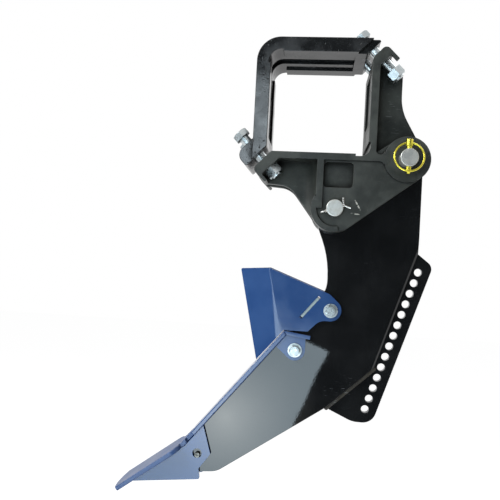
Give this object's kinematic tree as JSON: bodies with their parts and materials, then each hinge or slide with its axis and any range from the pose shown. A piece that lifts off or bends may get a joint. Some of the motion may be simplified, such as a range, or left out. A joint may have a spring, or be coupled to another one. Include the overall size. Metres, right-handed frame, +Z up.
{
  "type": "subsoiler shank",
  "caption": "Curved subsoiler leg with a bolted shin, deflector shield and wide point, held by a pivot pin and a shear pin in a split cast clamp for a square toolbar.",
  "frame": {"origin": "centre of the square toolbar opening, midway through the clamp", "axes": "+Y along the toolbar, +X rearward (away from the point), +Z up; the leg lies in the XZ plane"},
  "size_m": [0.5855, 0.184, 0.8941],
  "materials": {
    "black_paint": "glossy black enamel over castings and plate, slightly uneven",
    "blue_paint": "glossy blue enamel",
    "zinc": "bright zinc plate",
    "bare_steel": "turned bare steel",
    "yellow_zinc": "yellow passivated zinc plate"
  },
  "bodies": {
    "assembly": {"upper_clamp": "black_paint", "lower_clamp": "black_paint", "clamp_bolts": "zinc", "clamp_nuts": "zinc", "pivot_pin": "bare_steel", "linch_pin": "yellow_zinc", "shear_pin": "bare_steel", "shear_cotter": "bare_steel", "shank": "black_paint", "hole_plate": "black_paint", "shin_bar": "blue_paint", "shin_ear_near": "blue_paint", "shin_ear_far": "blue_paint", "shin_bolt": "zinc", "shin_nut": "zinc", "shin_washers": "zinc", "shield_near": "blue_paint", "shield_far": "blue_paint", "shield_stop": "blue_paint", "shield_bolt": "zinc", "shield_nut": "zinc", "shield_washers": "zinc", "point_blade": "blue_paint", "point_side_near": "blue_paint", "point_side_far": "blue_paint", "roll_pin": "bare_steel"},
    "ring": {"linch_ring": "yellow_zinc"}
  },
  "joints": [
    {"name": "ring_flip", "type": "hinge", "parent": "assembly", "child": "ring", "pos_m": [0.162, -0.089, -0.072], "axis": [-1, 0, 0], "range_deg": [0, 175]}
  ]
}
